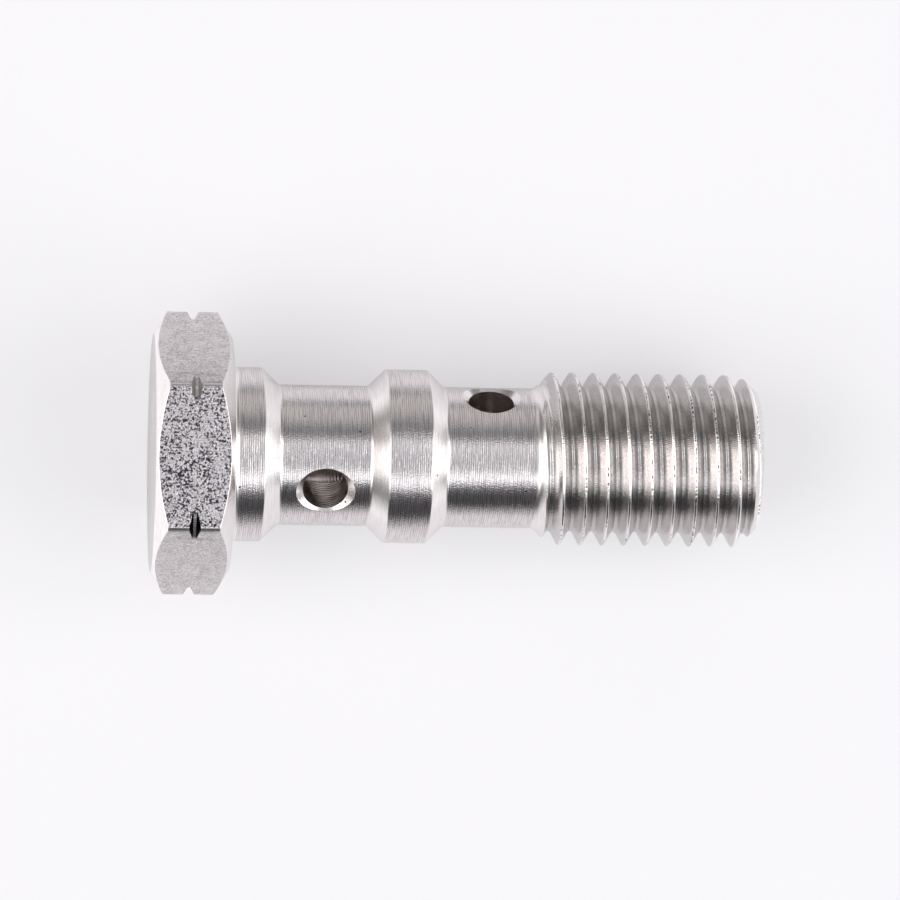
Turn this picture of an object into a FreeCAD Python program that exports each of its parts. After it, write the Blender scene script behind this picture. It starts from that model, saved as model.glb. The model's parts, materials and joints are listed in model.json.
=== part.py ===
import FreeCAD, Part
import math
import os

# A double banjo bolt: one piece of stainless steel bar, turned, threaded and drilled.
# Two hollow ring fittings sit round its two necks, and fluid passes between them
# and the bore through a cross hole in each neck.
#
# All sizes are millimetres. The axis is X and points from the head to the tip.
# The origin is on the axis, in the seat plane under the head.
# Z is up, square to one flat of the head, which lies on its opposite flat.

# Hexagon head
across_flats = 14.0
head_height = 4.42
hexagon_corner_radius = 0.45
outer_face_diameter = 13.5
seat_face_diameter = 13.2
head_chamfer_angle = 30.0

# Groove turned round the head, so shallow that it cuts only the six corners
groove_centre_from_seat = 2.21
groove_bottom_diameter = 15.2
groove_bottom_width = 0.22
groove_included_angle = 55.0

# Shank: collar, neck, collar, neck and thread, each length along the axis
collar_diameter = 9.85
neck_diameter = 7.95
head_collar_length = 1.75
first_neck_length = 5.10
middle_collar_length = 2.40
second_neck_length = 5.20
collar_cone_angle = 45.0
under_head_fillet = 0.35
neck_fillet = 0.30
thread_neck_fillet = 0.60

# Thread, right-handed. Its depth follows from the pitch, the two flats and the angle.
# One turn of the groove crosses the +Y side at this distance from the seat plane.
thread_diameter = 9.85
thread_pitch = 1.25
thread_length = 12.70
crest_flat = 0.16
root_flat = 0.28
thread_flank_angle = 60.0
groove_crossing = 0.07
tip_diameter = 8.0
tip_chamfer_angle = 45.0

# Bore drilled from the tip, stopped under the head
bore_diameter = 3.2
bore_depth = 26.4
bore_mouth_chamfer = 0.25
drill_point_angle = 118.0

# Cross holes, one in each neck, through both walls
# The angle is the hole's turn from straight up, positive towards +Y.
cross_hole_diameter = 2.56
countersink_diameter = 3.33
countersink_angle = 90.0
first_hole_from_neck_start = 2.55
second_hole_from_neck_start = 2.58
first_hole_angle = -30.0
second_hole_angle = 61.5

# How far a cutting shape runs out past the metal
overrun = 1.0

# Radii and places worked out from the sizes above
corner_radius = across_flats / 2 / math.cos(math.radians(30))
collar_radius = collar_diameter / 2
neck_radius = neck_diameter / 2
thread_radius = thread_diameter / 2
tip_radius = tip_diameter / 2
bore_radius = bore_diameter / 2
flank_slope = math.tan(math.radians(thread_flank_angle / 2))
thread_depth = (thread_pitch - crest_flat - root_flat) / 2 / flank_slope
root_radius = thread_radius - thread_depth


def cone_run(rise, angle):
    """Length along the axis of a cone that rises by this much at this angle to the axis."""
    return rise / math.tan(math.radians(angle))


neck_step = cone_run(collar_radius - neck_radius, collar_cone_angle)
thread_step = cone_run(thread_radius - neck_radius, collar_cone_angle)
first_neck_start = head_collar_length + neck_step
first_neck_end = first_neck_start + first_neck_length
middle_collar_start = first_neck_end + neck_step
middle_collar_end = middle_collar_start + middle_collar_length
second_neck_start = middle_collar_end + neck_step
thread_start = second_neck_start + second_neck_length
tip_x = thread_start + thread_length
tip_chamfer_start = tip_x - cone_run(thread_radius - tip_radius, tip_chamfer_angle)
bore_end = tip_x - bore_depth
first_hole_x = first_neck_start + first_hole_from_neck_start
second_hole_x = second_neck_start + second_hole_from_neck_start


def unit(vector):
    """The same direction with length one."""
    return FreeCAD.Vector(vector).normalize()


def outline(corners):
    """Closed wire through corners, each a point and the radius that rounds it."""
    starts = []
    ends = []
    middles = []
    for index, (corner, radius) in enumerate(corners):
        before = corners[index - 1][0]
        after = corners[(index + 1) % len(corners)][0]
        if radius == 0:
            starts.append(corner)
            ends.append(corner)
            middles.append(None)
            continue
        back = unit(before - corner)
        ahead = unit(after - corner)
        half_angle = back.getAngle(ahead) / 2
        tangent = radius / math.tan(half_angle)
        centre = corner + unit(back + ahead) * (radius / math.sin(half_angle))
        starts.append(corner + back * tangent)
        ends.append(corner + ahead * tangent)
        middles.append(centre + unit(corner - centre) * radius)
    edges = []
    for index in range(len(corners)):
        if middles[index] is not None:
            arc = Part.Arc(starts[index], middles[index], ends[index])
            edges.append(arc.toShape())
        following = starts[(index + 1) % len(corners)]
        if not ends[index].isEqual(following, 1e-6):
            edges.append(Part.LineSegment(ends[index], following).toShape())
    return Part.Wire(edges)


def turned(section):
    """Solid turned about the axis from a half section of (x, radius, rounding) corners."""
    corners = [(FreeCAD.Vector(x, radius, 0), rounding) for x, radius, rounding in section]
    face = Part.Face(outline(corners))
    return face.revolve(FreeCAD.Vector(0, 0, 0), FreeCAD.Vector(1, 0, 0), 360)


def hexagon_bar():
    """Hexagon bar with rounded corners, as long as the head, one flat up."""
    corners = []
    for index in range(6):
        turn = math.radians(30 + 60 * index)
        across = corner_radius * math.sin(turn)
        up = corner_radius * math.cos(turn)
        corners.append((FreeCAD.Vector(-head_height, across, up), hexagon_corner_radius))
    face = Part.Face(outline(corners))
    return face.extrude(FreeCAD.Vector(head_height, 0, 0))


def head_blank():
    """Disc that leaves the chamfers on both faces of the head."""
    rim = corner_radius + overrun
    slope = math.tan(math.radians(head_chamfer_angle))
    outer_run = (rim - outer_face_diameter / 2) * slope
    seat_run = (rim - seat_face_diameter / 2) * slope
    return turned([
        (-head_height, 0, 0),
        (-head_height, outer_face_diameter / 2, 0),
        (-head_height + outer_run, rim, 0),
        (-seat_run, rim, 0),
        (0, seat_face_diameter / 2, 0),
        (0, 0, 0),
    ])


def head_groove():
    """Ring of metal that the groove round the head takes away."""
    bottom = groove_bottom_diameter / 2
    rim = corner_radius + overrun
    half_bottom = groove_bottom_width / 2
    half_mouth = half_bottom + (rim - bottom) * math.tan(math.radians(groove_included_angle / 2))
    return turned([
        (-groove_centre_from_seat - half_mouth, rim, 0),
        (-groove_centre_from_seat - half_bottom, bottom, 0),
        (-groove_centre_from_seat + half_bottom, bottom, 0),
        (-groove_centre_from_seat + half_mouth, rim, 0),
    ])


def shank_blank():
    """Turned shank before its thread is cut, with its root buried in the head."""
    fillet_foot = collar_radius + under_head_fillet
    root_end = -head_height / 2
    return turned([
        (root_end, 0, 0),
        (root_end, fillet_foot, 0),
        (0, fillet_foot, 0),
        (0, collar_radius, under_head_fillet),
        (head_collar_length, collar_radius, 0),
        (first_neck_start, neck_radius, neck_fillet),
        (first_neck_end, neck_radius, neck_fillet),
        (middle_collar_start, collar_radius, 0),
        (middle_collar_end, collar_radius, 0),
        (second_neck_start, neck_radius, neck_fillet),
        (thread_start, neck_radius, thread_neck_fillet),
        (thread_start + thread_step, thread_radius, 0),
        (tip_chamfer_start, thread_radius, 0),
        (tip_x, tip_radius, 0),
        (tip_x, 0, 0),
    ])


def thread_groove():
    """Helical solid with the section of the thread's groove, open past both ends."""
    # The flanks run on past the crests, until half a crest's width is left between turns.
    half_root = root_flat / 2
    half_mouth = (thread_pitch - crest_flat / 2) / 2
    rim = root_radius + (half_mouth - half_root) / flank_slope
    section = Part.makePolygon([
        FreeCAD.Vector(root_radius, 0, -half_root),
        FreeCAD.Vector(root_radius, 0, half_root),
        FreeCAD.Vector(rim, 0, half_mouth),
        FreeCAD.Vector(rim, 0, -half_mouth),
        FreeCAD.Vector(root_radius, 0, -half_root),
    ])
    turns_before = math.floor((thread_start - overrun - groove_crossing) / thread_pitch)
    helix_start = groove_crossing + turns_before * thread_pitch
    turns = math.ceil((tip_x + overrun - helix_start) / thread_pitch)
    taper = 0
    helix = Part.makeLongHelix(thread_pitch, turns * thread_pitch, root_radius, taper)
    groove = Part.Wire(helix.Edges).makePipeShell([section], True, True)
    # The helix climbs along Z from the X side. This turn lays it along X from the Y side.
    lay_along_x = FreeCAD.Rotation(
        FreeCAD.Vector(0, 1, 0), FreeCAD.Vector(0, 0, 1), FreeCAD.Vector(1, 0, 0), "ZXY"
    )
    groove.Placement = FreeCAD.Placement(FreeCAD.Vector(helix_start, 0, 0), lay_along_x)
    return groove


def bore():
    """Space of the bore, with its mouth chamfer and the cone left by the drill."""
    point_run = cone_run(bore_radius, drill_point_angle / 2)
    mouth = bore_radius + bore_mouth_chamfer
    return turned([
        (bore_end - point_run, 0, 0),
        (bore_end, bore_radius, 0),
        (tip_x - bore_mouth_chamfer, bore_radius, 0),
        (tip_x, mouth, 0),
        (tip_x + overrun, mouth, 0),
        (tip_x + overrun, 0, 0),
    ])


def cross_hole(hole_x, turn_degrees):
    """Space of a hole through both walls of a neck, with a countersink at each end."""
    turn = math.radians(turn_degrees)
    outward = FreeCAD.Vector(0, math.sin(turn), math.cos(turn))
    centre = FreeCAD.Vector(hole_x, 0, 0)
    reach = neck_radius + overrun
    hole_radius = cross_hole_diameter / 2
    space = Part.makeCylinder(hole_radius, 2 * reach, centre - outward * reach, outward)
    slope = math.tan(math.radians(countersink_angle / 2))
    depth = (countersink_diameter / 2 - hole_radius) / slope
    for side in (outward, outward * -1):
        foot = centre + side * (neck_radius - depth)
        rise = depth + overrun
        sink = Part.makeCone(hole_radius, hole_radius + rise * slope, rise, foot, side)
        space = space.fuse(sink)
    return space


def banjo_bolt():
    """The whole bolt as one solid."""
    head = hexagon_bar().common(head_blank()).cut(head_groove())
    bolt = head.fuse(shank_blank()).removeSplitter()
    bolt = bolt.cut(thread_groove())
    bolt = bolt.cut(bore())
    bolt = bolt.cut(cross_hole(first_hole_x, first_hole_angle))
    bolt = bolt.cut(cross_hole(second_hole_x, second_hole_angle))
    return bolt.Solids[0]


os.makedirs("parts", exist_ok=True)
bolt = banjo_bolt()
bolt.exportStep("parts/banjo_bolt.step")
box = bolt.optimalBoundingBox(False, False)
print("valid", bolt.isValid(), "faces", len(bolt.Faces), "volume", round(bolt.Volume, 2))
print("x", round(box.XMin, 3), round(box.XMax, 3), "y", round(box.YMin, 3), round(box.YMax, 3))
print("z", round(box.ZMin, 3), round(box.ZMax, 3))
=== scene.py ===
# %% [markdown]
# # A double banjo bolt in Blender
#
# A banjo bolt is a hollow bolt. It clamps two ring fittings to one hydraulic port, and fluid
# passes through its bore and its cross holes. The real one is cut from a single bar of
# stainless steel. So it is built here as one closed mesh, and its finishes are told apart by
# material: turned shank, drawn hexagon, cut thread, drilled holes.
#
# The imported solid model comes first. It gives the frame that every piece has to fit, and it is
# measured before anything is added.

# %% Load the frame
import json
import math

import bmesh
import bpy
import numpy as np
from mathutils import Matrix, Vector


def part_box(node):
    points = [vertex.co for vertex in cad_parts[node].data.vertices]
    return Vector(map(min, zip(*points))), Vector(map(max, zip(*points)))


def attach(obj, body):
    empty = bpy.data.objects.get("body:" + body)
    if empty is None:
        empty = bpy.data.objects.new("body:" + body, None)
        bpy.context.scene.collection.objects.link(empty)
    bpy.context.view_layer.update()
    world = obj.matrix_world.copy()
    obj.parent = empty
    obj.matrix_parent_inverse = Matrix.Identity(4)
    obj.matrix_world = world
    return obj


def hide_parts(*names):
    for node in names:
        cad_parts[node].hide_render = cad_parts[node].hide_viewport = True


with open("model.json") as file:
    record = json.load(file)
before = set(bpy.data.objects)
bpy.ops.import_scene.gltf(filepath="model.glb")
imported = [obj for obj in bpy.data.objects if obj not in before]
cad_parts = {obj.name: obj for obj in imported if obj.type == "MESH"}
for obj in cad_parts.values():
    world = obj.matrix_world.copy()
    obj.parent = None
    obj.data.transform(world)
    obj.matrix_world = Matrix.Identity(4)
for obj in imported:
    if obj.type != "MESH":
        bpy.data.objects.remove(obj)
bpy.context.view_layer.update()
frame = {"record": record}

NODE = "banjo_bolt"
mm = 0.001
low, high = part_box(NODE)
mounts = {mount["name"]: mount for mount in frame["record"]["mounts"]}
print("the frame measures", [round(size / mm, 2) for size in high - low], "mm")

# %% [markdown]
# ## Sizes
#
# The bolt lies along X. Its origin is on the axis, in the seat plane under the head, and Z is
# square to one flat of the head. Blender works in metres, so each size in millimetres is
# multiplied by mm. What the frame knows is read from it: the distance across the flats, the
# head's height, the tip, the collars, the bore and the thread's length. The other sizes are
# the solid model's own, but here the thread is a little deeper and rounded, and the edges are
# broken.

# %% Sizes that the frame gives
across_flats = high.z - low.z
head_back = low.x
tip_x = high.x
collar_radius = mounts["middle_collar"]["dims"]["r_mm"] * mm
middle_collar_length = mounts["middle_collar"]["dims"]["length_mm"] * mm
middle_collar_start = mounts["middle_collar"]["pos_m"][0] - middle_collar_length / 2
middle_collar_end = middle_collar_start + middle_collar_length
head_collar_length = mounts["head_collar"]["dims"]["length_mm"] * mm
head_collar_end = mounts["head_collar"]["pos_m"][0] + head_collar_length / 2
bore_radius = mounts["fluid_bore"]["dims"]["r_mm"] * mm
bore_length = mounts["fluid_bore"]["dims"]["length_mm"] * mm
thread_start = mounts["thread"]["pos_m"][0] - mounts["thread"]["dims"]["length_mm"] * mm
print("the thread starts", round(thread_start / mm, 2), "mm from the seat")

# %% Sizes of the head
flat_distance = across_flats / 2
hexagon_corner_radius = 0.45 * mm
outer_face_radius = 6.75 * mm
seat_face_radius = 6.6 * mm
head_chamfer_slope = math.tan(math.radians(30))
groove_centre = -2.21 * mm
groove_bottom_radius = 7.6 * mm
groove_half_bottom = 0.11 * mm
groove_wall_slope = math.tan(math.radians(27.5))
print("the head is", round(-head_back / mm, 2), "mm high")

# %% Sizes of the shank
neck_radius = 3.975 * mm
neck_step = collar_radius - neck_radius
first_neck = (head_collar_end + neck_step, middle_collar_start - neck_step)
second_neck = (middle_collar_end + neck_step, thread_start)
under_head_fillet = 0.35 * mm
neck_fillet = 0.30 * mm
tip_radius = 4.0 * mm
bore_mouth_chamfer = 0.25 * mm
bore_end = tip_x - bore_mouth_chamfer - bore_length
drill_point_run = bore_radius / math.tan(math.radians(59))
edge_break = 0.10 * mm
fine_edge = 0.05 * mm
print("the first neck is", round((first_neck[1] - first_neck[0]) / mm, 2), "mm long")

# %% Sizes of the thread and of the cross holes
thread_pitch = 1.25 * mm
thread_root_radius = collar_radius - 0.78 * mm
groove_crossing = 0.07 * mm
hole_radius = 1.28 * mm
sink_radius = 1.665 * mm
weld_distance = 0.001 * mm
first_hole = (first_neck[0] + 2.55 * mm, math.radians(-30))
second_hole = (second_neck[0] + 2.58 * mm, math.radians(61.5))
print("the holes are", [round(place / mm, 2) for place, turn in (first_hole, second_hole)], "mm along")

# %% [markdown]
# ## One lathe for the whole bolt
#
# A lathe turns a profile about an axis, and a mesh can be made the same way: the profile's
# points repeat at every turn angle, and quads join them. Blender's Spin or Screw does this for
# a round part. The hexagon is not round, but each of its points still has one distance from
# the axis, so the head can come off the same lathe with a profile that changes from one turn
# angle to the next. All edges of the head are then rows of the grid, exactly where the real
# edges are, and the head joins the shank with no boolean.
#
# The turn angles crowd round the six corners, where the hexagon bends, and where the groove
# in the corners runs out into the flats.

# %% Turn angles of the lathe, measured from +Y towards +Z
SEXTANT = math.radians(60)
corner_arc_centre = (flat_distance - hexagon_corner_radius) / math.cos(SEXTANT / 2)
corner_turn = math.atan2(
    hexagon_corner_radius * math.sin(SEXTANT / 2),
    corner_arc_centre + hexagon_corner_radius * math.cos(SEXTANT / 2),
)
groove_turn = SEXTANT / 2 - math.acos(flat_distance / groove_bottom_radius)
round_corner = np.linspace(0, corner_turn, 4)
groove_part = np.linspace(corner_turn, groove_turn, 4)[1:]
flat_part = np.linspace(groove_turn, SEXTANT / 2, 12)[1:]
half = np.concatenate([round_corner, groove_part, flat_part])
sextant = np.concatenate([half, SEXTANT - half[-2:0:-1]])
turns = np.concatenate([sextant + SEXTANT * index for index in range(6)])
print("the lathe has", len(turns), "turn angles")


# %% Angle to the nearest corner, and distance to the hexagon's side
def from_corner(turn):
    return abs((turn + SEXTANT / 2) % SEXTANT - SEXTANT / 2)


def hexagon_radius(turn):
    off = from_corner(turn)
    if off < corner_turn:
        across = corner_arc_centre * math.sin(off)
        return corner_arc_centre * math.cos(off) + math.sqrt(hexagon_corner_radius**2 - across**2)
    return flat_distance / math.cos(SEXTANT / 2 - off)


print("across the corners", round(2 * hexagon_radius(0) / mm, 2), "mm")

# %% [markdown]
# ## Broken edges
#
# No real edge is perfectly sharp, and it is the rounded edges that catch the light. The Bevel
# modifier could round them afterwards. Here each corner of the profile carries its own radius
# and number of steps, and an arc takes its place before the mesh exists, so that every turn
# angle has the same number of points. A corner with no steps is just a point on the line.

# %% Arc in place of one corner
arc_share = 0.48
no_room = 1e-6 * mm
no_bend = 1e-3


def corner_arc(before, here, after, rounding, steps):
    back = (before - here).normalized()
    ahead = (after - here).normalized()
    room = arc_share * min((before - here).length, (after - here).length)
    bend = math.pi - back.angle(ahead) if room > 0 else 0
    if room < no_room or bend < no_bend:
        return [here] * (steps + 1)
    reach = min(rounding * math.tan(bend / 2), room)
    start = here + back * reach
    end = here + ahead * reach
    centre = here + (back + ahead).normalized() * reach / math.sin(bend / 2)
    points = []
    for step in range(steps + 1):
        near = math.sin((1 - step / steps) * bend)
        far = math.sin(step / steps * bend)
        points.append(centre + ((start - centre) * near + (end - centre) * far) / math.sin(bend))
    return points


# %% Profile with all its corners rounded
def rounded(corners):
    """Points along a line of (x, distance, rounding, steps) corners."""
    places = [Vector(corner[:2]) for corner in corners]
    points = []
    for index, (x, distance, rounding, steps) in enumerate(corners):
        if steps == 0:
            points.append(places[index])
        else:
            points += corner_arc(places[index - 1], places[index], places[index + 1], rounding, steps)
    return points


def straight(start, end, count, distance):
    """Plain points between two places on a cylinder, so that its faces stay nearly square."""
    return [(x, distance, 0, 0) for x in np.linspace(start, end, count + 1)[1:-1]]


# %% The lathe itself
def lathe(name, profile_at):
    """Mesh whose profile at each turn angle is given by a function of that angle."""
    columns = []
    for turn in turns:
        profile = rounded(profile_at(turn))
        columns.append([(p.x, p.y * math.cos(turn), p.y * math.sin(turn)) for p in profile])
    rows = len(columns[0])
    faces = []
    for column in range(len(columns)):
        following = (column + 1) % len(columns)
        for row in range(rows - 1):
            here = column * rows + row
            beside = following * rows + row
            faces.append((here, beside, beside + 1, here + 1))
    mesh = bpy.data.meshes.new(name)
    mesh.from_pydata([point for column in columns for point in column], [], faces)
    print(name, "has", len(faces), "faces")
    return mesh


# %% [markdown]
# ## Head and shank
#
# The head is the piece of bar that the lathe left almost alone: it has the drawn flats, a 30
# degree chamfer on both faces, and a shallow groove that only nicks the six corners. The
# shank below it is turned down to two collars, which centre the ring fittings, and two necks,
# round which the fluid flows.
#
# The profile starts in the middle of the outer face and runs over the chamfer, down the
# flat and its groove, over the second chamfer to the seat, and along the collars and necks
# to the place where the thread takes over. The groove's bottom is further from the axis than
# the middle of a flat, so its depth falls to nothing there by itself.

# %% Profile of the head and shank
thread_grid_start = thread_start - 0.40 * mm


def head_and_shank(turn):
    side = hexagon_radius(turn)
    depth = max(0.0, side - groove_bottom_radius)
    mouth = groove_half_bottom + depth * groove_wall_slope
    return [
        (head_back, 0, 0, 0),
        (head_back, outer_face_radius / 3, 0, 0),
        (head_back, outer_face_radius * 2 / 3, 0, 0),
        (head_back, outer_face_radius, edge_break, 4),
        (head_back + (side - outer_face_radius) * head_chamfer_slope, side, fine_edge, 4),
        (groove_centre - mouth, side, fine_edge, 2),
        (groove_centre - groove_half_bottom, side - depth, fine_edge, 1),
        (groove_centre + groove_half_bottom, side - depth, fine_edge, 1),
        (groove_centre + mouth, side, fine_edge, 2),
        ((seat_face_radius - side) * head_chamfer_slope, side, fine_edge, 4),
        (0, seat_face_radius, edge_break, 3),
        (0, collar_radius, under_head_fillet, 6),
        (head_collar_end, collar_radius, edge_break, 3),
        (first_neck[0], neck_radius, neck_fillet, 4),
        *straight(first_neck[0], first_neck[1], 12, neck_radius),
        (first_neck[1], neck_radius, neck_fillet, 4),
        (middle_collar_start, collar_radius, edge_break, 3),
        (middle_collar_end, collar_radius, edge_break, 3),
        (second_neck[0], neck_radius, neck_fillet, 4),
        *straight(second_neck[0], thread_grid_start, 11, neck_radius),
        (thread_grid_start, neck_radius, 0, 0),
    ]


head_mesh = lathe("head and shank", head_and_shank)

# %% [markdown]
# ## Tip and bore
#
# The bore is drilled from the tip to just under the head, and it ends in the cone that the
# drill's point leaves. A second profile goes over the chamfered tip and down into the bore,
# and closes on the axis. It could be cut out with a boolean as the cross holes are, but a
# profile costs nothing and keeps the mouth's chamfer even.

# %% Profile of the tip and bore
thread_grid_end = tip_x - 0.10 * mm


def tip_and_bore(turn):
    return [
        (thread_grid_end, tip_radius + (tip_x - thread_grid_end), 0, 0),
        (tip_x, tip_radius, fine_edge, 3),
        (tip_x, bore_radius + bore_mouth_chamfer, fine_edge, 3),
        (tip_x - bore_mouth_chamfer, bore_radius, fine_edge, 3),
        *straight(tip_x - bore_mouth_chamfer, bore_end, 34, bore_radius),
        (bore_end, bore_radius, edge_break, 2),
        (bore_end - drill_point_run, 0, 0, 0),
    ]


tip_mesh = lathe("tip and bore", tip_and_bore)

# %% [markdown]
# ## A helper for nodes
#
# The thread and all the finishes are node trees. One small function adds a node, sets its
# properties, and fills each input with a value or links it to an earlier node. Inputs are
# given in order, or by the names that the node shows in Blender.


# %% Add one node
def add_node(tree, kind, inputs=(), **settings):
    node = tree.nodes.new(kind)
    for name, value in settings.items():
        setattr(node, name, value)
    shown = [socket for socket in node.inputs if socket.enabled]
    pairs = inputs.items() if isinstance(inputs, dict) else enumerate(inputs)
    for key, value in pairs:
        socket = shown[key] if isinstance(key, int) else next(s for s in shown if s.name == key)
        if isinstance(value, bpy.types.Node):
            value = next(output for output in value.outputs if output.enabled)
        if isinstance(value, bpy.types.NodeSocket):
            tree.links.new(value, socket)
        else:
            socket.default_value = value
    return node


# %% [markdown]
# ## Thread
#
# The real thread is a groove cut along a helix, 1.25 mm forward in each turn, with flanks at
# 60 degrees to each other, a narrow crest and a rounded root. It follows a rule, so Geometry
# Nodes make it. The Screw modifier could wind a section too, but it can't fade the thread out
# on the neck's cone and on the tip's chamfer.
#
# The tree lays out a grid with one column for each turn angle and sets every point by
# formula. Rows run along the helix, and they crowd where the thread bends, at its crest and
# its root. The distance from the axis is the smallest of three: the blank with its cone, the
# thread's own section, and the chamfer at the tip. The turn angles come from the last ring of
# the neck, so the thread grows out of it with no gap. Because the rows climb with the helix,
# the grid starts one turn and two rows early, and what lies outside is pressed flat onto its
# two ends and merged.

# %% Named inputs of the tree
thread_sizes = {
    "Start": thread_grid_start,
    "End": thread_grid_end,
    "Pitch": thread_pitch,
    "Groove crossing": groove_crossing,
    "Crest radius": collar_radius,
    "Root radius": thread_root_radius,
    "Root flat": 0.23 * mm,
    "Flank slope": 1 / math.tan(math.radians(30)),
    "Crest rounding": 0.12 * mm,
    "Root rounding": 0.20 * mm,
    "Neck radius": neck_radius,
    "Cone foot": thread_start,
    "Cone rounding": 0.35 * mm,
    "Tip": tip_x,
    "Tip radius": tip_radius,
    "Crowding": 0.045,
    "Rows per turn": 24,
}
print("the tree has", len(thread_sizes), "sizes to set")

# %% [markdown]
# The formula is a list of Math nodes, one a line: the name of the result, the operation, and
# its values, which are sizes from above, earlier results or plain numbers. The first lines
# count the grid's rows. The others work out each point from its index: its row and column,
# its place along the axis, and its distance from the axis.

# %% The formula
formula = [
    ("spacing", "DIVIDE", "Pitch", "Rows per turn"),
    ("lead", "MULTIPLY_ADD", "spacing", 2.0, "Pitch"),
    ("length", "SUBTRACT", "End", "Start"),
    ("length covered", "ADD", "length", "lead"),
    ("gaps", "DIVIDE", "length covered", "spacing"),
    ("whole gaps", "CEIL", "gaps"),
    ("rows", "ADD", "whole gaps", 3.0),
    ("middle of point", "ADD", "index", 0.5),
    ("columns passed", "DIVIDE", "middle of point", "rows"),
    ("column", "FLOOR", "columns passed"),
    ("points passed", "MULTIPLY", "column", "rows"),
    ("row", "SUBTRACT", "index", "points passed"),
    ("first row", "SUBTRACT", "Start", "lead"),
    ("along", "MULTIPLY_ADD", "row", "spacing", "first row"),
    ("from crossing", "SUBTRACT", "along", "Groove crossing"),
    ("pitches", "DIVIDE", "from crossing", "Pitch"),
    ("phase", "MULTIPLY", "pitches", 4 * math.pi),
    ("wave", "SINE", "phase"),
    ("crowding length", "MULTIPLY", "Pitch", "Crowding"),
    ("shift", "MULTIPLY", "wave", "crowding length"),
    ("crowded", "SUBTRACT", "along", "shift"),
    ("turned part", "DIVIDE", "turn", 2 * math.pi),
    ("climbed", "MULTIPLY_ADD", "turned part", "Pitch", "crowded"),
    ("not before start", "MAXIMUM", "climbed", "Start"),
    ("x", "MINIMUM", "not before start", "End"),
    ("past crossing", "SUBTRACT", "crowded", "Groove crossing"),
    ("half pitch", "MULTIPLY", "Pitch", 0.5),
    ("minus half pitch", "MULTIPLY", "Pitch", -0.5),
    ("in groove", "WRAP", "past crossing", "half pitch", "minus half pitch"),
    ("from groove", "ABSOLUTE", "in groove"),
    ("half root", "MULTIPLY", "Root flat", 0.5),
    ("past root", "SUBTRACT", "from groove", "half root"),
    ("flank", "MULTIPLY_ADD", "past root", "Flank slope", "Root radius"),
    ("round root", "SMOOTH_MAX", "flank", "Root radius", "Root rounding"),
    ("section", "SMOOTH_MIN", "round root", "Crest radius", "Crest rounding"),
    ("past foot", "SUBTRACT", "x", "Cone foot"),
    ("cone", "ADD", "past foot", "Neck radius"),
    ("blank", "SMOOTH_MAX", "cone", "Neck radius", "Cone rounding"),
    ("before tip", "SUBTRACT", "Tip", "x"),
    ("chamfer", "ADD", "before tip", "Tip radius"),
    ("cut blank", "MINIMUM", "blank", "section"),
    ("radius", "MINIMUM", "cut blank", "chamfer"),
    ("cosine", "COSINE", "turn"),
    ("sine", "SINE", "turn"),
    ("y", "MULTIPLY", "radius", "cosine"),
    ("z", "MULTIPLY", "radius", "sine"),
]
print("the formula has", len(formula), "steps")


# %% Tree of the thread
def thread_tree(material):
    tree = bpy.data.node_groups.new("thread by rule", "GeometryNodeTree")
    tree.interface.new_socket("Ring", in_out="INPUT", socket_type="NodeSocketGeometry")
    for name, size in thread_sizes.items():
        kind = "NodeSocketInt" if isinstance(size, int) else "NodeSocketFloat"
        tree.interface.new_socket(name, in_out="INPUT", socket_type=kind)
    tree.interface.new_socket("Thread", in_out="OUTPUT", socket_type="NodeSocketGeometry")
    values = {socket.name: socket for socket in add_node(tree, "NodeGroupInput").outputs}
    ring = values["Ring"]
    kept_turn = add_node(tree, "GeometryNodeInputNamedAttribute", {"Name": "turn"}, data_type="FLOAT")
    turn_of_column = add_node(
        tree, "GeometryNodeSampleIndex", {"Geometry": ring, "Value": kept_turn}, data_type="FLOAT"
    )
    values["index"] = add_node(tree, "GeometryNodeInputIndex")
    values["turn"] = turn_of_column
    for name, operation, *parts in formula:
        inputs = [values.get(part, part) for part in parts]
        values[name] = add_node(tree, "ShaderNodeMath", inputs, operation=operation, label=name)
    tree.links.new(values["column"].outputs[0], turn_of_column.inputs["Index"])
    columns = add_node(tree, "GeometryNodeAttributeDomainSize", [ring])
    grid = add_node(tree, "GeometryNodeMeshGrid", {"Vertices X": columns, "Vertices Y": values["rows"]})
    place = add_node(tree, "ShaderNodeCombineXYZ", [values["x"], values["y"], values["z"]])
    shaped = add_node(tree, "GeometryNodeSetPosition", {"Geometry": grid, "Position": place})
    closed = add_node(tree, "GeometryNodeMergeByDistance", {"Geometry": shaped, "Distance": weld_distance})
    realized = add_node(tree, "GeometryNodeRealizeInstances", [closed])
    finished = add_node(tree, "GeometryNodeSetMaterial", {"Geometry": realized, "Material": material})
    add_node(tree, "NodeGroupOutput", [finished])
    print("the thread's tree has", len(tree.nodes), "nodes")
    return tree


# %% Last ring of the neck, which carries the turn angles
def neck_ring():
    closing = np.append(turns, 2 * math.pi)
    points = [(thread_grid_start, neck_radius * math.cos(t), neck_radius * math.sin(t)) for t in closing]
    mesh = bpy.data.meshes.new("last ring of the neck")
    mesh.from_pydata(points, [(index, index + 1) for index in range(len(turns))], [])
    mesh.attributes.new("turn", "FLOAT", "POINT").data.foreach_set("value", closing)
    ring = bpy.data.objects.new("thread from ring", mesh)
    bpy.context.collection.objects.link(ring)
    print("the ring has", len(points), "points")
    return ring


# %% Run the tree and keep its result as a plain mesh
def thread_mesh(material):
    ring = neck_ring()
    modifier = ring.modifiers.new("thread", "NODES")
    modifier.node_group = thread_tree(material)
    for item in modifier.node_group.interface.items_tree:
        if item.name in thread_sizes:
            modifier[item.identifier] = thread_sizes[item.name]
    evaluated = ring.evaluated_get(bpy.context.evaluated_depsgraph_get())
    mesh = bpy.data.meshes.new_from_object(evaluated)
    bpy.data.objects.remove(ring)
    print("the thread has", len(mesh.polygons), "faces")
    return mesh


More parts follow.
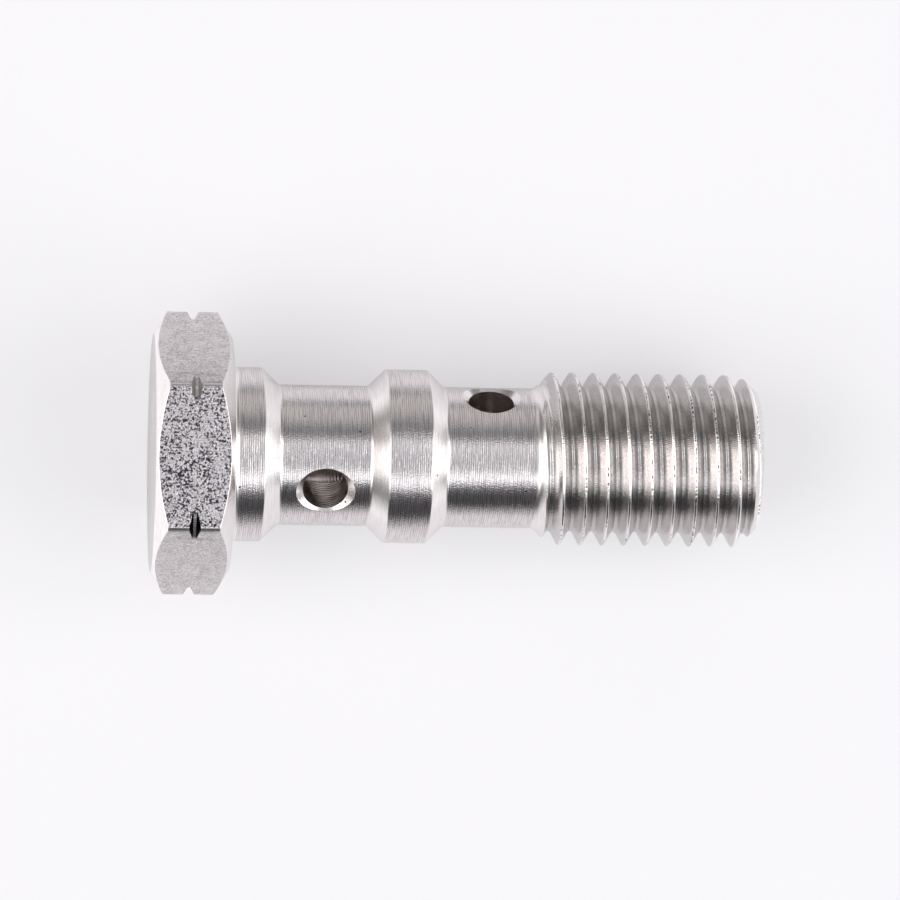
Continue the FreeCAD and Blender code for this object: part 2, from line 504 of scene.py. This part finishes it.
# %% [markdown]
# ## Finishes
#
# All of the bolt is one alloy, austenitic stainless steel, and nothing coats it. A metal has
# no colour but that of its reflection, so in the shader it is fully metallic, keeps the
# default IOR, and has a pale, slightly warm grey as its base colour. What tells the finishes
# apart is how the tools left the surface, how rough it is and which way its marks run, and the
# tones painted on them. The darker tones stand for pits, for dirt and for scratches too fine to
# show, and some of them for painted shade. Some paler tones are painted light. Each such place is
# named below.
#
# Each finish is a tree that ends in the same three nodes. A Bump node turns the relief of the
# marks into shading, the Principled shader takes colour and roughness, and the output shows
# it. Patterns read Object coordinates, in metres, or the attribute called profile, which is
# written on the mesh further down: the distance in metres along the cut.


# %% Colours and the end of each tree
def srgb(code):
    """Linear colour from an sRGB hex code."""
    channels = [int(code[place:place + 2], 16) / 255 for place in (1, 3, 5)]
    return [c / 12.92 if c <= 0.04045 else ((c + 0.055) / 1.055) ** 2.4 for c in channels] + [1.0]


def bare_steel(name, roughness, pattern, depth, *choices):
    """Material of bare steel. The pattern makes its colour and its relief, this deep in metres."""
    material = bpy.data.materials.new(name)
    material.use_nodes = True
    tree = material.node_tree
    tree.nodes.clear()
    colour, relief = pattern(tree, *choices)
    marks = add_node(tree, "ShaderNodeBump", {"Height": relief, "Distance": depth})
    shader = add_node(tree, "ShaderNodeBsdfPrincipled", {
        "Base Color": colour, "Metallic": 1.0, "Roughness": roughness, "Normal": marks,
    })
    add_node(tree, "ShaderNodeOutputMaterial", [shader])
    print(name, "has", len(tree.nodes), "nodes")
    return material


# %% [markdown]
# ### Turned steel
#
# A turning tool leaves a fine spiral groove, one turn for each 0.12 mm that it advances. To
# the eye these are straight fine lines round the shank, broken here and there by streaks and
# grit where the metal tore. A few small dark nicks come from handling.
#
# A Wave texture could draw rings, but only about one axis. Here a sine runs on the profile
# attribute instead, so the lines follow cylinders, cones and flat faces alike. The streaks
# are noise that is stretched across X, and the grit is drawn a little coarser than the real
# one, which would be too fine to show.
#
# Three finishes share the tree. The shank is turned. The two faces of the head and the face
# of the tip are faced, with a coarser feed that shows as rings, and a darker colour that is
# painted shade. Cones and chamfers are cut in one go by the side of a shaped tool, so their
# marks are shallow and even, and their paler colour is painted light.

# %% Turned, faced and formed steel
streak_length = 20
nick_spacing = 1.2 * mm
nick_colour = srgb("#3C3A3C")


def turning_marks(tree, dark, light, feed_spacing, feed_share, drift_share):
    place = add_node(tree, "ShaderNodeTexCoord").outputs["Object"]
    profile = add_node(tree, "ShaderNodeAttribute", attribute_name="profile").outputs["Fac"]
    drift = add_node(tree, "ShaderNodeTexNoise", {"Vector": place, "Scale": 1 / (1.2 * mm)})
    phase = add_node(tree, "ShaderNodeMath", [profile, 2 * math.pi / feed_spacing], operation="MULTIPLY")
    phase = add_node(tree, "ShaderNodeMath", [drift, drift_share, phase], operation="MULTIPLY_ADD")
    feed = add_node(tree, "ShaderNodeMath", [phase], operation="SINE")
    squeeze = (1, 1 / streak_length, 1 / streak_length)
    around = add_node(tree, "ShaderNodeVectorMath", [place, squeeze], operation="MULTIPLY")
    streaks = add_node(tree, "ShaderNodeTexNoise", {"Vector": around, "Scale": 1 / (0.05 * mm)})
    grit = add_node(tree, "ShaderNodeTexNoise", {"Vector": place, "Scale": 1 / (0.08 * mm), "Detail": 1.0})
    lines = add_node(tree, "ShaderNodeMath", [feed, feed_share, streaks], operation="MULTIPLY_ADD")
    relief = add_node(tree, "ShaderNodeMath", [grit, 0.9, lines], operation="MULTIPLY_ADD")
    tone = add_node(tree, "ShaderNodeMapRange", [lines, 0.36, 0.56])
    colour = add_node(
        tree, "ShaderNodeMix", {"Factor": tone, "A": srgb(dark), "B": srgb(light)}, data_type="RGBA"
    )
    nick = add_node(tree, "ShaderNodeTexVoronoi", {"Vector": place, "Scale": 1 / nick_spacing})
    clear = add_node(tree, "ShaderNodeMapRange", [nick, 0.030, 0.062])
    colour = add_node(
        tree, "ShaderNodeMix", {"Factor": clear, "A": nick_colour, "B": colour}, data_type="RGBA"
    )
    return colour, relief


turned = bare_steel(
    "turned stainless steel", 0.15, turning_marks, 0.0125 * mm, "#C2BCBD", "#E4DFE0", 0.12 * mm, 0.12, 2.0
)
# Faced steel: the same metal with darker tones, which are painted shade.
faced = bare_steel(
    "faced stainless steel", 0.26, turning_marks, 0.011 * mm, "#B2ACAB", "#D0CAC9", 0.16 * mm, 0.35, 4.0
)
# Formed steel: the same metal with paler tones, which are painted light on cones and chamfers.
formed = bare_steel(
    "formed stainless steel", 0.25, turning_marks, 0.002 * mm, "#E9E4E3", "#F3EFEE", 0.12 * mm, 0.05, 1.5
)

# %% [markdown]
# ### Drawn steel
#
# The bar was drawn through a die and then pickled, and nothing has cut its flats since.
# Drawing leaves faint lines along it, and pickling leaves small dark pits between pale grains.
# The flats that face up and down get darker and denser pits than the other four, which is partly
# real pits and partly painted shade, so the tree is used twice, as drawn steel and as pitted steel
# with painted shade. The corners are rubbed smooth and bright.
#
# The pits are where a noise of 0.12 mm falls below a level, and a coarser noise gathers them
# into patches. The lines are noise that is stretched along X. On these faces profile is the
# distance from the nearest corner, so it tells where the marks are rubbed away.

# %% Drawn steel
line_stretch = 20


def drawn_marks(tree, pale, pit_colour, pitting, lining):
    place = add_node(tree, "ShaderNodeTexCoord").outputs["Object"]
    corner = add_node(tree, "ShaderNodeAttribute", attribute_name="profile").outputs["Fac"]
    grain = add_node(tree, "ShaderNodeTexNoise", {"Vector": place, "Scale": 1 / (0.12 * mm), "Detail": 2.5})
    patches = add_node(tree, "ShaderNodeTexNoise", {"Vector": place, "Scale": 1 / (0.6 * mm)})
    grouped = add_node(tree, "ShaderNodeMath", [patches, 0.35, grain], operation="MULTIPLY_ADD")
    pits = add_node(tree, "ShaderNodeMapRange", [grouped, 0.765, 0.555, 0.0, pitting])
    along = add_node(
        tree, "ShaderNodeVectorMath", [place, (1 / line_stretch, 1.0, 1.0)], operation="MULTIPLY"
    )
    lines = add_node(tree, "ShaderNodeTexNoise", {"Vector": along, "Scale": 1 / (0.05 * mm), "Detail": 1.0})
    lines = add_node(tree, "ShaderNodeMapRange", [lines, 0.56, 0.36, 0.0, lining])
    marks = add_node(tree, "ShaderNodeMath", [pits, lines], operation="MAXIMUM")
    kept = add_node(tree, "ShaderNodeMapRange", [corner, 0.08 * mm, 0.13 * mm])
    marks = add_node(tree, "ShaderNodeMath", [marks, kept], operation="MULTIPLY")
    colour = add_node(
        tree, "ShaderNodeMix", {"Factor": marks, "A": srgb(pale), "B": srgb(pit_colour)}, data_type="RGBA"
    )
    relief = add_node(tree, "ShaderNodeMath", [1.0, marks], operation="SUBTRACT")
    return colour, relief


drawn = bare_steel(
    "drawn stainless steel", 0.26, drawn_marks, 0.006 * mm, "#E6E1E1", "#57505A", 0.46, 0.30
)
# The flats that face up and down: darker, denser pits, partly real pits and partly painted shade.
pitted = bare_steel(
    "pitted stainless steel", 0.16, drawn_marks, 0.026 * mm, "#D9D5D8", "#3C3641", 1.0, 0.20
)

# %% [markdown]
# ### Cut thread
#
# A thread is cut in several passes, and the tool chatters. So its flanks carry fine ridges
# across the cut. Its crest carries a painted highlight, a near-white line, and is torn in places,
# which shows as short dark dashes along that line. The root is darkened a little with painted shade.
#
# The ridges are a sine on the angle about the axis. To find the crest anywhere on the helix,
# the place along X is unwound by one pitch a turn: what is left says how far a point is from
# the crest. The painted highlight on the crest and the painted shade in the root follow from
# that distance, and the dashes are noise that is kept only near the crest.

# %% Cut thread
ridges_per_radian = 240


def thread_marks(tree, dark, light, rubbed_colour, torn_colour):
    place = add_node(tree, "ShaderNodeTexCoord").outputs["Object"]
    parts = add_node(tree, "ShaderNodeSeparateXYZ", [place]).outputs
    turn = add_node(tree, "ShaderNodeMath", [parts["Z"], parts["Y"]], operation="ARCTAN2")
    wobble = add_node(tree, "ShaderNodeTexNoise", {"Vector": place, "Scale": 1 / (0.5 * mm)})
    phase = add_node(tree, "ShaderNodeMath", [turn, ridges_per_radian], operation="MULTIPLY")
    phase = add_node(tree, "ShaderNodeMath", [wobble, 10.0, phase], operation="MULTIPLY_ADD")
    ridges = add_node(tree, "ShaderNodeMath", [phase], operation="SINE")
    grit = add_node(tree, "ShaderNodeTexNoise", {"Vector": place, "Scale": 1 / (0.09 * mm)})
    relief = add_node(tree, "ShaderNodeMath", [ridges, 0.12, grit], operation="MULTIPLY_ADD")
    tone = add_node(tree, "ShaderNodeMapRange", [grit, 0.30, 0.62])
    colour = add_node(
        tree, "ShaderNodeMix", {"Factor": tone, "A": srgb(dark), "B": srgb(light)}, data_type="RGBA"
    )
    climb = -thread_pitch / (2 * math.pi)
    unwound = add_node(tree, "ShaderNodeMath", [turn, climb, parts["X"]], operation="MULTIPLY_ADD")
    in_pitch = add_node(
        tree, "ShaderNodeMath", [unwound, groove_crossing + thread_pitch, groove_crossing], operation="WRAP"
    )
    from_crest = add_node(
        tree, "ShaderNodeMath", [in_pitch, groove_crossing + thread_pitch / 2], operation="SUBTRACT"
    )
    from_crest = add_node(tree, "ShaderNodeMath", [from_crest], operation="ABSOLUTE")
    # Painted highlight: a near-white line along the crest.
    rubbed = add_node(tree, "ShaderNodeMapRange", [from_crest, 0.070 * mm, 0.045 * mm])
    colour = add_node(
        tree, "ShaderNodeMix", {"Factor": rubbed, "A": colour, "B": srgb(rubbed_colour)}, data_type="RGBA"
    )
    crest = add_node(tree, "ShaderNodeMapRange", [from_crest, 0.055 * mm, 0.030 * mm])
    torn = add_node(tree, "ShaderNodeTexNoise", {"Vector": place, "Scale": 1 / (0.15 * mm), "Detail": 1.0})
    torn = add_node(tree, "ShaderNodeMapRange", [torn, 0.50, 0.56])
    stretch = add_node(tree, "ShaderNodeTexNoise", {"Vector": place, "Scale": 1 / (1.5 * mm), "Detail": 0.0})
    stretch = add_node(tree, "ShaderNodeMapRange", [stretch, 0.44, 0.60])
    dashes = add_node(tree, "ShaderNodeMath", [crest, torn], operation="MULTIPLY")
    dashes = add_node(tree, "ShaderNodeMath", [dashes, stretch], operation="MULTIPLY")
    # Painted shade: the root darkens a little towards the torn colour.
    root = add_node(tree, "ShaderNodeMapRange", [from_crest, 0.42 * mm, 0.52 * mm, 0.0, 0.24])
    marks = add_node(tree, "ShaderNodeMath", [dashes, root], operation="MAXIMUM")
    colour = add_node(
        tree, "ShaderNodeMix", {"Factor": marks, "A": colour, "B": srgb(torn_colour)}, data_type="RGBA"
    )
    return colour, relief


# The third colour is the crest's painted highlight, and the fourth is the torn dashes and the root's painted
# shade.
cut = bare_steel(
    "cut stainless steel", 0.14, thread_marks, 0.010 * mm, "#C4C0BF", "#DAD6D5", "#F6F4F3", "#484648"
)

# %% [markdown]
# ### Drilled holes and a groove with painted shade
#
# A drill leaves rings down the wall of its hole, rougher than turning, and a thin brown film of
# cutting oil stays in there. The rings are a sine on the hole's depth, which is what profile
# holds on those faces. They are drawn 0.20 mm apart, a little coarser than real ones.
#
# The groove round the head's corners carries painted shade: its colour darkens from pale grey
# on the +Y side of the head to nearly black on the -Y side.

# %% Drilled holes and the groove's painted shade
ring_spacing = 0.20 * mm


def drilling_marks(tree, dark, light):
    place = add_node(tree, "ShaderNodeTexCoord").outputs["Object"]
    depth = add_node(tree, "ShaderNodeAttribute", attribute_name="profile").outputs["Fac"]
    wobble = add_node(tree, "ShaderNodeTexNoise", {"Vector": place, "Scale": 1 / (0.8 * mm), "Detail": 1.0})
    phase = add_node(tree, "ShaderNodeMath", [depth, 2 * math.pi / ring_spacing], operation="MULTIPLY")
    phase = add_node(tree, "ShaderNodeMath", [wobble, 8.0, phase], operation="MULTIPLY_ADD")
    rings = add_node(tree, "ShaderNodeMath", [phase], operation="SINE")
    tone = add_node(tree, "ShaderNodeMapRange", [wobble, 0.35, 0.65])
    colour = add_node(
        tree, "ShaderNodeMix", {"Factor": tone, "A": srgb(dark), "B": srgb(light)}, data_type="RGBA"
    )
    return colour, rings


def stain(tree, dark, light):
    place = add_node(tree, "ShaderNodeTexCoord").outputs["Object"]
    across = add_node(tree, "ShaderNodeSeparateXYZ", [place]).outputs["Y"]
    # Painted shade: the groove darkens towards -Y.
    tone = add_node(tree, "ShaderNodeMapRange", [across, -2 * mm, 2 * mm])
    colour = add_node(
        tree, "ShaderNodeMix", {"Factor": tone, "A": srgb(dark), "B": srgb(light)}, data_type="RGBA"
    )
    grit = add_node(tree, "ShaderNodeTexNoise", {"Vector": place, "Scale": 1 / (0.10 * mm)})
    return colour, grit


drilled = bare_steel("drilled stainless steel", 0.27, drilling_marks, 0.005 * mm, "#B4ABA6", "#E2DAD5")
# The groove's colours: nearly black for painted shade, pale grey on the other side.
stained = bare_steel("stained stainless steel", 0.24, stain, 0.004 * mm, "#2C2A2C", "#C9C5C5")
finishes = (turned, faced, formed, drawn, pitted, cut, drilled, stained)

# %% [markdown]
# ## One closed shell
#
# The head, the thread and the tip were made as three meshes whose last rings lie on the same
# points. Merging by distance welds them into one shell. The rings were made from the same
# turn angles, so no bridge or boolean is needed. A shell with an open edge can't be
# drilled or printed, so the open edges are counted.


# %% Weld the three meshes
def open_edges(mesh):
    shell = bmesh.new()
    shell.from_mesh(mesh)
    count = sum(len(edge.link_faces) != 2 for edge in shell.edges)
    volume = shell.calc_volume()
    shell.free()
    return count, volume


def welded_shell(meshes):
    shell = bmesh.new()
    for mesh in meshes:
        shell.from_mesh(mesh)
    bmesh.ops.remove_doubles(shell, verts=shell.verts, dist=weld_distance)
    bmesh.ops.dissolve_degenerate(shell, edges=shell.edges, dist=weld_distance / 10)
    bmesh.ops.recalc_face_normals(shell, faces=shell.faces)
    mesh = bpy.data.meshes.new("bolt")
    shell.to_mesh(mesh)
    shell.free()
    return mesh


shell_mesh = welded_shell([head_mesh, thread_mesh(cut), tip_mesh])
print("the shell has", open_edges(shell_mesh)[0], "open edges")

# %% [markdown]
# ## Cross holes
#
# Each neck is drilled through both walls into the bore, and a countersink breaks the sharp
# rim so that it can't cut a seal. The holes meet the turned surfaces at curves that no
# profile gives, so this is work for a Boolean modifier. Its cutter has the shape of the drill
# and both countersinks in one, and its own material, which the exact solver hands on to the
# walls that it cuts.

# %% Cutter for one cross hole
cutter_sides = 72
cutter_overrun = 0.8 * mm


def hole_cutter(name, place, turn):
    sink_depth = sink_radius - hole_radius
    sink_foot = neck_radius - sink_depth
    reach = neck_radius + cutter_overrun
    flare = hole_radius + reach - sink_foot
    middle = [(along, hole_radius) for along in np.linspace(-sink_foot, sink_foot, 7)]
    cutter = bmesh.new()
    rings = []
    for along, radius in [(-reach, flare), *middle, (reach, flare)]:
        angles = [2 * math.pi * side / cutter_sides for side in range(cutter_sides)]
        rings.append([cutter.verts.new((radius * math.cos(a), radius * math.sin(a), along)) for a in angles])
    for below, above in zip(rings, rings[1:]):
        for side in range(cutter_sides):
            beside = (side + 1) % cutter_sides
            cutter.faces.new((below[side], below[beside], above[beside], above[side]))
    cutter.faces.new(reversed(rings[0]))
    cutter.faces.new(rings[-1])
    # The cutter's axis turns from straight up towards +Y, and moves along the bolt.
    lay = Matrix.Translation((place, 0, 0)) @ Matrix.Rotation(-turn, 4, "X")
    bmesh.ops.transform(cutter, matrix=lay, verts=cutter.verts)
    bmesh.ops.recalc_face_normals(cutter, faces=cutter.faces)
    mesh = bpy.data.meshes.new(name)
    cutter.to_mesh(mesh)
    cutter.free()
    mesh.materials.append(drilled)
    result = bpy.data.objects.new(name, mesh)
    bpy.context.collection.objects.link(result)
    return result


# %% Drill the bolt
def drilled_bolt(mesh):
    blank = bpy.data.objects.new("blank", mesh)
    bpy.context.collection.objects.link(blank)
    for finish in finishes:
        mesh.materials.append(finish)
    cutters = [hole_cutter("first hole", *first_hole), hole_cutter("second hole", *second_hole)]
    for cutter in cutters:
        drill = blank.modifiers.new(cutter.name, "BOOLEAN")
        drill.operation = "DIFFERENCE"
        drill.solver = "EXACT"
        drill.material_mode = "TRANSFER"
        drill.object = cutter
    evaluated = blank.evaluated_get(bpy.context.evaluated_depsgraph_get())
    result = bpy.data.meshes.new_from_object(evaluated)
    for extra in cutters + [blank]:
        bpy.data.objects.remove(extra)
    return result


bolt_mesh = drilled_bolt(shell_mesh)
bolt = bpy.data.objects.new("bolt", bolt_mesh)
bpy.context.collection.objects.link(bolt)
count, volume = open_edges(bolt_mesh)
print("the bolt has", len(bolt_mesh.polygons), "faces and", count, "open edges")
print("its volume is", round(volume / mm**3, 1), "cubic mm")

# %% [markdown]
# ## Which finish goes where
#
# Each face gets the finish of the tool that made it, found from where the face is and which
# way it looks. The attribute called profile goes on the mesh for the patterns. It is kept at
# each corner of each face, not at each point, because two finishes meet at many edges and
# measure different things there.

# %% Finish of one face
# The part of a face's normal that lies along X tells faces, flats and cones apart.
face_lean = 0.95
flat_lean = 0.3
cone_lean = 0.12
thread_begins = thread_start + 0.6 * mm
tip_chamfer_begins = tip_x - 0.9 * mm


def tool_of(face):
    x, y, z = face.center
    distance = math.hypot(y, z)
    steep = abs(face.normal.x)
    if distance < bore_radius * 1.02 and x > bore_end - drill_point_run:
        return drilled
    if x > thread_begins and distance > tip_radius * 0.99:
        return cut
    if x < -0.02 * mm and steep < flat_lean and distance > neck_radius:
        # The flats that face up and down take the copy with painted shade.
        return pitted if abs(face.normal.z) > 0.9 else drawn
    # The groove round the corners takes the painted shade.
    if abs(x - groove_centre) < 0.8 * mm and distance > flat_distance:
        return stained
    # The faces take faced steel, whose darker colour is painted shade.
    if steep > face_lean:
        return faced
    if steep > cone_lean or x < 0 or x > tip_chamfer_begins:
        return formed
    return turned


# %% Distance along the cut, for each finish
def profile_run():
    """Places along X on the shank, and the distance along its profile at each."""
    points = [point for point in rounded(head_and_shank(0)) if point.x >= -1e-9][1:]
    steps = [(after - before).length for before, after in zip(points, points[1:])]
    return [point.x for point in points], np.concatenate([[0], np.cumsum(steps)])


shank_x, shank_run = profile_run()


def along_cut(finish, face, place):
    distance = math.hypot(place.y, place.z)
    if finish == drilled:
        return place.x
    if finish in (drawn, pitted):
        return from_corner(math.atan2(place.z, place.y)) * distance
    if abs(face.normal.x) > 0.8:
        return distance
    return float(np.interp(place.x, shank_x, shank_run))


def hole_depth(place, hole):
    axis = Vector((0, math.sin(hole[1]), math.cos(hole[1])))
    out = place - Vector((hole[0], 0, 0))
    along = out.dot(axis)
    return along, (out - axis * along).length


# %% Dress every face
past_wall = 1.004
sharp_bend = math.radians(32)


def dress(mesh):
    profile = mesh.attributes.new("profile", "FLOAT", "CORNER")
    for face in mesh.polygons:
        face.use_smooth = True
        in_hole = mesh.materials[face.material_index] == drilled
        hole = first_hole if face.center.x < middle_collar_end else second_hole
        finish = tool_of(face)
        if in_hole:
            finish = formed if hole_depth(face.center, hole)[1] > hole_radius * past_wall else drilled
        face.material_index = finishes.index(finish)
        for corner in face.loop_indices:
            place = mesh.vertices[mesh.loops[corner].vertex_index].co
            run = hole_depth(place, hole)[0] if in_hole else along_cut(finish, face, place)
            profile.data[corner].value = run
    mesh.set_sharp_from_angle(angle=sharp_bend)


dress(bolt_mesh)
worn = [finishes[face.material_index].name for face in bolt_mesh.polygons]
print({finish.name: worn.count(finish.name) for finish in finishes})

# %% [markdown]
# ## Camera
#
# The bolt is seen from above, nearly square to its axis. The camera stands 0.28 m away, as
# for a close photograph with a long lens. It leans a little towards the tip and is rolled by
# one degree. A camera looks along its own -Z, so its three axes are worked out first and
# written straight into its matrix.

# %% Camera
target = Vector((12.545, 0.40, 0.0)) * mm
camera_distance = 283.0 * mm
lean = math.radians(5.55)
side_lean = math.radians(1.5)
roll = math.radians(0.98)
ahead = Vector((
    math.sin(lean) * math.cos(side_lean),
    -math.sin(side_lean),
    -math.cos(lean) * math.cos(side_lean),
))
right = ahead.cross(Vector((0, 1, 0))).normalized()
up = right.cross(ahead)
rolled_right = right * math.cos(roll) + up * math.sin(roll)
rolled_up = up * math.cos(roll) - right * math.sin(roll)
camera_data = bpy.data.cameras.new("camera")
camera_data.lens = 198.8
camera_data.sensor_width = 36.0
camera_data.clip_start = 10 * mm
camera = bpy.data.objects.new("camera", camera_data)
axes = Matrix((rolled_right, rolled_up, -ahead)).transposed()
camera.matrix_world = Matrix.Translation(target - ahead * camera_distance) @ axes.to_4x4()
bpy.context.collection.objects.link(camera)
bpy.context.scene.camera = camera
print("the camera leans", round(math.degrees(ahead.angle(Vector((0, 0, -1)))), 2), "degrees")

# %% [markdown]
# ## Table
#
# The bolt lies on one flat of its head and on the rim of its thread, which is thinner. The
# bolt stays square to the frame, so it is the table that slopes, through those two contacts.
#
# A white table in a photograph is nearly as bright as the background. Its paint is a plain
# diffuse white, which takes the bolt's shadow, and for the camera half of it is a glow of
# strength 1, so that the shadow stays soft and pale. In the bolt's reflections a quarter of
# it glows, by 0.65 near the bolt and by 1.7 past its two ends, where the panels stand. A real
# table ends and falls off into the room, so in the reflections this one dims from 22 to 55 mm
# beside the bolt.

# %% Table
flat_end = -0.23 * mm
last_crest = 28.9 * mm
head_contact = Vector((flat_end, 0, -flat_distance))
thread_contact = Vector((last_crest, 0, -collar_radius))
slope = (thread_contact.z - head_contact.z) / (thread_contact.x - head_contact.x)
half_floor = 400 * mm
gap = 0.01 * mm
corners = []
for side_x, side_y in ((-1, -1), (1, -1), (1, 1), (-1, 1)):
    x = side_x * half_floor
    corners.append((x, side_y * half_floor, head_contact.z + (x - head_contact.x) * slope - gap))
floor_mesh = bpy.data.meshes.new("floor")
floor_mesh.from_pydata(corners, [], [(0, 1, 2, 3)])
floor = bpy.data.objects.new("floor", floor_mesh)
bpy.context.collection.objects.link(floor)
print("the floor rises by", round(math.degrees(math.atan(slope)), 2), "degrees")

# %% Paint of the table
table_white = srgb("#F1F0F3")
glow_near = 0.65
glow_past_ends = 1.7
glow_far = 0.42
middle_x = (head_back + tip_x) / 2
white = bpy.data.materials.new("white table")
white.use_nodes = True
tree = white.node_tree
tree.nodes.clear()
path = add_node(tree, "ShaderNodeLightPath").outputs
paint = add_node(tree, "ShaderNodeBsdfDiffuse", {"Color": table_white})
place = add_node(tree, "ShaderNodeTexCoord").outputs["Object"]
parts = add_node(tree, "ShaderNodeSeparateXYZ", [place]).outputs
along = add_node(tree, "ShaderNodeMath", [parts["X"], middle_x], operation="SUBTRACT")
along = add_node(tree, "ShaderNodeMath", [along], operation="ABSOLUTE")
mirrored = add_node(tree, "ShaderNodeMapRange", [along, 17 * mm, 20 * mm, glow_near, glow_past_ends])
strength = add_node(tree, "ShaderNodeMapRange", [path["Is Glossy Ray"], 0.0, 1.0, 1.0, mirrored])
glow = add_node(tree, "ShaderNodeEmission", {"Color": table_white, "Strength": strength})
share = add_node(
    tree, "ShaderNodeMath", [path["Is Glossy Ray"], 0.5, path["Is Camera Ray"]], operation="MULTIPLY_ADD"
)
share = add_node(tree, "ShaderNodeMath", [share, 0.5], operation="MULTIPLY")
near = add_node(tree, "ShaderNodeMixShader", [share, paint, glow])
beside = add_node(tree, "ShaderNodeMath", [parts["Y"]], operation="ABSOLUTE")
far = add_node(tree, "ShaderNodeMapRange", [beside, 22 * mm, 55 * mm])
far = add_node(tree, "ShaderNodeMath", [far, path["Is Glossy Ray"]], operation="MULTIPLY")
dim = add_node(tree, "ShaderNodeEmission", {"Color": srgb("#FFFFFF"), "Strength": glow_far})
add_node(tree, "ShaderNodeOutputMaterial", [add_node(tree, "ShaderNodeMixShader", [far, near, dim])])
floor_mesh.materials.append(white)
print("the table's paint has", len(tree.nodes), "nodes")

# %% [markdown]
# ## Light
#
# Bare metal shows its room, so the look of this bolt is mostly the look of what surrounds it.
# In the photograph the necks carry, from top to bottom, a pale edge, a warm grey band, a dark
# line, a wide light band with a bright lower rim, a nearly black band and a pale edge again.
# Those are soft panels of light with dark gaps between them, all parallel to the bolt.
#
# Area lamps could stand for the panels. A world needs no lamps: its brightness is a ramp
# over the angle about the bolt's axis, from straight up. A second ramp holds for
# directions towards the bolt's two ends, where brighter panels light the flanks of the
# thread, and straight out along the axis there is one more pale panel. Averaged over the
# half of the world above the table, the light is about 1.05, so a colour renders about as it
# is written. The camera itself sees plain white instead.

# %% Levels of the panels
PLAIN = (1.0, 1.0, 1.0)
WARM = (1.03, 1.0, 0.975)
COOL = (0.98, 0.99, 1.03)
across_levels = [
    (-180, 0.30, PLAIN), (-96, 0.20, PLAIN), (-90, 0.085, COOL), (-84, 0.08, COOL), (-62, 0.085, COOL),
    (-52, 0.15, COOL), (-45, 0.28, COOL), (-40, 1.45, COOL), (-30, 1.50, PLAIN), (-24, 0.92, PLAIN),
    (-18, 0.62, COOL), (4, 0.65, COOL), (18, 0.86, PLAIN), (26, 0.78, PLAIN), (31, 0.30, COOL),
    (46, 0.26, COOL), (54, 0.44, PLAIN), (66, 0.58, WARM), (88, 0.66, WARM), (96, 0.60, WARM),
    (180, 0.30, PLAIN),
]
end_levels = [
    (-180, 0.30, PLAIN), (-92, 0.10, PLAIN), (-86, 0.05, PLAIN), (-62, 0.06, PLAIN), (-43, 2.8, PLAIN),
    (22, 2.8, WARM), (37, 0.18, WARM), (86, 0.21, WARM), (92, 0.20, WARM), (180, 0.30, PLAIN),
]
print("brightest panel", max(level for degrees, level, tint in across_levels + end_levels))

# %% World of panels
world = bpy.data.worlds.new("studio")
bpy.context.scene.world = world
world.use_nodes = True
tree = world.node_tree
tree.nodes.clear()
direction = add_node(tree, "ShaderNodeTexCoord").outputs["Generated"]
parts = add_node(tree, "ShaderNodeSeparateXYZ", [direction]).outputs
angle = add_node(tree, "ShaderNodeMath", [parts["Y"], parts["Z"]], operation="ARCTAN2")
position = add_node(tree, "ShaderNodeMapRange", [angle, -math.pi, math.pi])
ramps = []
for levels in (across_levels, end_levels):
    ramp = add_node(tree, "ShaderNodeValToRGB", [position])
    stops = ramp.color_ramp.elements
    stops.remove(stops[0])
    for index, (degrees, level, tint) in enumerate(levels):
        stop = stops[0] if index == 0 else stops.new(1.0)
        stop.position = (degrees + 180) / 360
        stop.color = [level * part for part in tint] + [1.0]
    ramps.append(ramp)
sideways = add_node(tree, "ShaderNodeMath", [parts["X"]], operation="ABSOLUTE")
panels = ramps[0]
axis_level = (2.3, 2.3, 2.3, 1.0)
# Each zone begins at one part of the direction along X and is full at another.
zones = ((0.32, 0.62, ramps[1]), (0.88, 0.97, axis_level))
for start, end, further in zones:
    share = add_node(
        tree, "ShaderNodeMapRange", [sideways, start, end], interpolation_type="SMOOTHSTEP"
    )
    panels = add_node(
        tree, "ShaderNodeMix", {"Factor": share, "A": panels, "B": further}, data_type="RGBA"
    )
path = add_node(tree, "ShaderNodeLightPath").outputs
studio = add_node(tree, "ShaderNodeBackground", [panels, 1.0])
plain = add_node(tree, "ShaderNodeBackground", [srgb("#FFFFFF"), 1.0])
seen = add_node(tree, "ShaderNodeMixShader", [path["Is Camera Ray"], studio, plain])
add_node(tree, "ShaderNodeOutputWorld", [seen])
print("the world has", len(tree.nodes), "nodes")

# %% [markdown]
# ## Hand over
#
# The Standard view shows colours as they are written. The bolt rides on the solid model's
# only body and takes its place, and the solid model's own mesh is hidden.

# %% Hand over
bpy.context.scene.view_settings.view_transform = "Standard"
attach(bolt, "root")
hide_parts(NODE)
